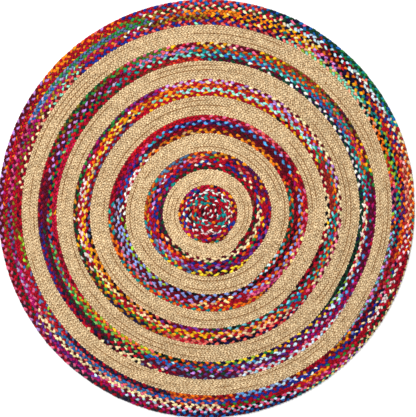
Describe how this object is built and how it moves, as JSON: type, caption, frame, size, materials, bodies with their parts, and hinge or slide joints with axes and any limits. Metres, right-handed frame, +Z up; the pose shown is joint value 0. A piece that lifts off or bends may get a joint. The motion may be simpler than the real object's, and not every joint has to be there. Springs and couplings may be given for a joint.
{
  "type": "round jute rug",
  "caption": "Flat round rug of braid wound in a spiral and sewn edge to edge, in rings of multicoloured rag and natural jute.",
  "frame": {"origin": "middle of the rug's outline, on the floor under it", "axes": "+Z up out of the floor; seen from above with +Y up the page, the braids are spliced at the lower right"},
  "size_m": [1.1908, 1.1954, 0.009],
  "materials": {
    "rag": "matt multicoloured cotton rag",
    "jute": "matt natural jute"
  },
  "bodies": {
    "root": {"rag_centre": "rag", "jute_ring_1": "jute", "rag_ring_1": "rag", "jute_ring_2": "jute", "rag_ring_2": "rag", "jute_ring_3": "jute", "rag_ring_3": "rag", "jute_ring_4": "jute", "rag_ring_4": "rag", "jute_ring_5": "jute", "rag_ring_5": "rag"}
  },
  "joints": []
}
